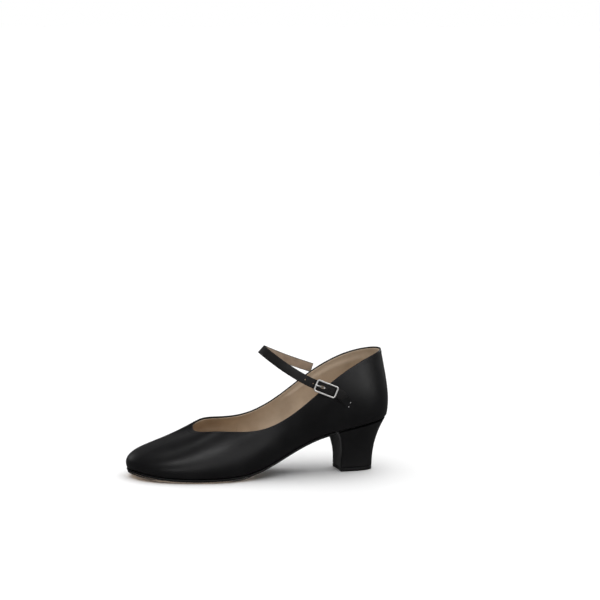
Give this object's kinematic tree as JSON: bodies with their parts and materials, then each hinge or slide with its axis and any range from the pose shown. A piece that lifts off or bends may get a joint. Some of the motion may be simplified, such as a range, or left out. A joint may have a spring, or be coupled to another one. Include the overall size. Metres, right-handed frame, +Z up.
{
  "type": "character shoe",
  "caption": "Black leather court shoe for stage dance with a buckled instep strap, a covered block heel and a leather forepart tread; left foot.",
  "frame": {"origin": "on the floor under the middle of the shoe's bounding box", "axes": "+Z up; the toe points to -X, the heel to +X; -Y is the outer side, with the buckle, and +Y the inner side"},
  "size_m": [0.2447, 0.0824, 0.1168],
  "materials": {
    "black_leather": "smooth, satin",
    "black_sole": "smooth, dyed",
    "tan_leather": "unfinished, matte",
    "lining_leather": "matte",
    "stiffener": "resin-stiffened cloth",
    "board": "pressed fibreboard",
    "cork": "ground cork",
    "foam": "soft foam",
    "heel_plastic": "moulded",
    "steel": "drawn",
    "nickel": "nickel-plated, dulled"
  },
  "bodies": {
    "shoe": {"forepart_filler": "cork", "forepart_tread": "tan_leather", "heel_block": "heel_plastic", "heel_counter": "stiffener", "heel_cover": "black_leather", "heel_nail_1": "steel", "heel_nail_2": "steel", "heel_nail_3": "steel", "heel_nail_4": "steel", "heel_pad": "foam", "heel_screw": "steel", "insole_board": "board", "lift_pin_1": "steel", "lift_pin_2": "steel", "lift_pin_3": "steel", "outsole": "black_sole", "quarter_lining": "lining_leather", "shank": "steel", "shank_rivet_1": "steel", "shank_rivet_2": "steel", "sock_lining": "lining_leather", "toe_puff": "stiffener", "top_lift": "tan_leather", "upper": "black_leather", "vamp_lining": "lining_leather"},
    "strap": {"strap": "black_leather", "strap_backing": "lining_leather", "buckle_tab": "black_leather"},
    "buckle": {"buckle_frame": "nickel"},
    "prong": {"buckle_prong": "nickel"}
  },
  "joints": [
    {"name": "strap_swing", "type": "hinge", "parent": "shoe", "child": "strap", "pos_m": [0.0752, -0.03016, 0.06736], "axis": [-0.2319, 0.9193, 0.3181], "range_deg": [-8, 8], "stiffness_Nm_per_rad": 0.2},
    {"name": "frame_tilt", "type": "hinge", "parent": "strap", "child": "buckle", "pos_m": [0.05102, -0.03401, 0.08334], "axis": [0.3821, 0.0002, 0.9241], "range_deg": [-3, 3], "stiffness_Nm_per_rad": 0.02},
    {"name": "prong_lift", "type": "hinge", "parent": "buckle", "child": "prong", "pos_m": [0.05102, -0.03401, 0.08334], "axis": [0.3821, 0.0002, 0.9241], "range_deg": [0, 30]}
  ]
}
